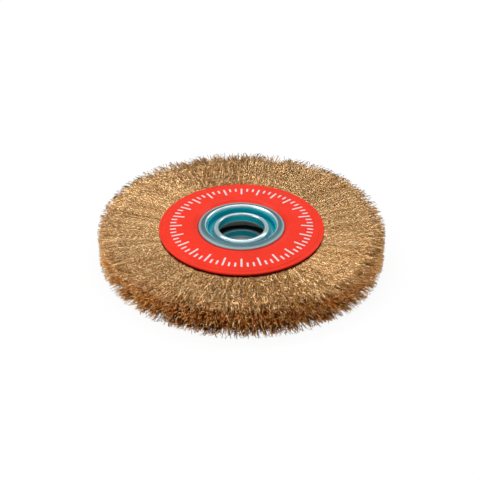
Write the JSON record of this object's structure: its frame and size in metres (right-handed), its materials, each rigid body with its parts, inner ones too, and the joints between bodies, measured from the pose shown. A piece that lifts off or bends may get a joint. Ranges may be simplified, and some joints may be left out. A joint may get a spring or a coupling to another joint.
{
  "type": "wire wheel brush",
  "caption": "Round crimped wire wheel brush with dished red face plates, a rolled steel hub and a plain centre bore, for the spindle of a bench grinder.",
  "frame": {"origin": "centre of the brush, on the spindle axis and midway between the face plates", "axes": "+Z along the spindle axis, towards the upper face plate; the brush lies flat in XY"},
  "size_m": [0.1998, 0.1998, 0.0236],
  "materials": {
    "plate_paint": "gloss red paint",
    "eyelet_zinc": "bright zinc plate",
    "reducer_zinc": "blue passivated zinc plate",
    "core_steel": "bare drawn wire",
    "crimped_wire": "brass-coated crimped steel wire"
  },
  "bodies": {
    "root": {"upper_face_plate": "plate_paint", "lower_face_plate": "plate_paint", "arbor_eyelet": "eyelet_zinc", "upper_bore_reducer": "reducer_zinc", "lower_bore_reducer": "reducer_zinc", "core_ring": "core_steel", "wire_tuft_01": "crimped_wire", "wire_tuft_02": "crimped_wire", "wire_tuft_03": "crimped_wire", "wire_tuft_04": "crimped_wire", "wire_tuft_05": "crimped_wire", "wire_tuft_06": "crimped_wire", "wire_tuft_07": "crimped_wire", "wire_tuft_08": "crimped_wire", "wire_tuft_09": "crimped_wire", "wire_tuft_10": "crimped_wire", "wire_tuft_11": "crimped_wire", "wire_tuft_12": "crimped_wire", "wire_tuft_13": "crimped_wire", "wire_tuft_14": "crimped_wire", "wire_tuft_15": "crimped_wire", "wire_tuft_16": "crimped_wire", "wire_tuft_17": "crimped_wire", "wire_tuft_18": "crimped_wire", "wire_tuft_19": "crimped_wire", "wire_tuft_20": "crimped_wire", "wire_tuft_21": "crimped_wire", "wire_tuft_22": "crimped_wire", "wire_tuft_23": "crimped_wire", "wire_tuft_24": "crimped_wire"}
  },
  "joints": []
}
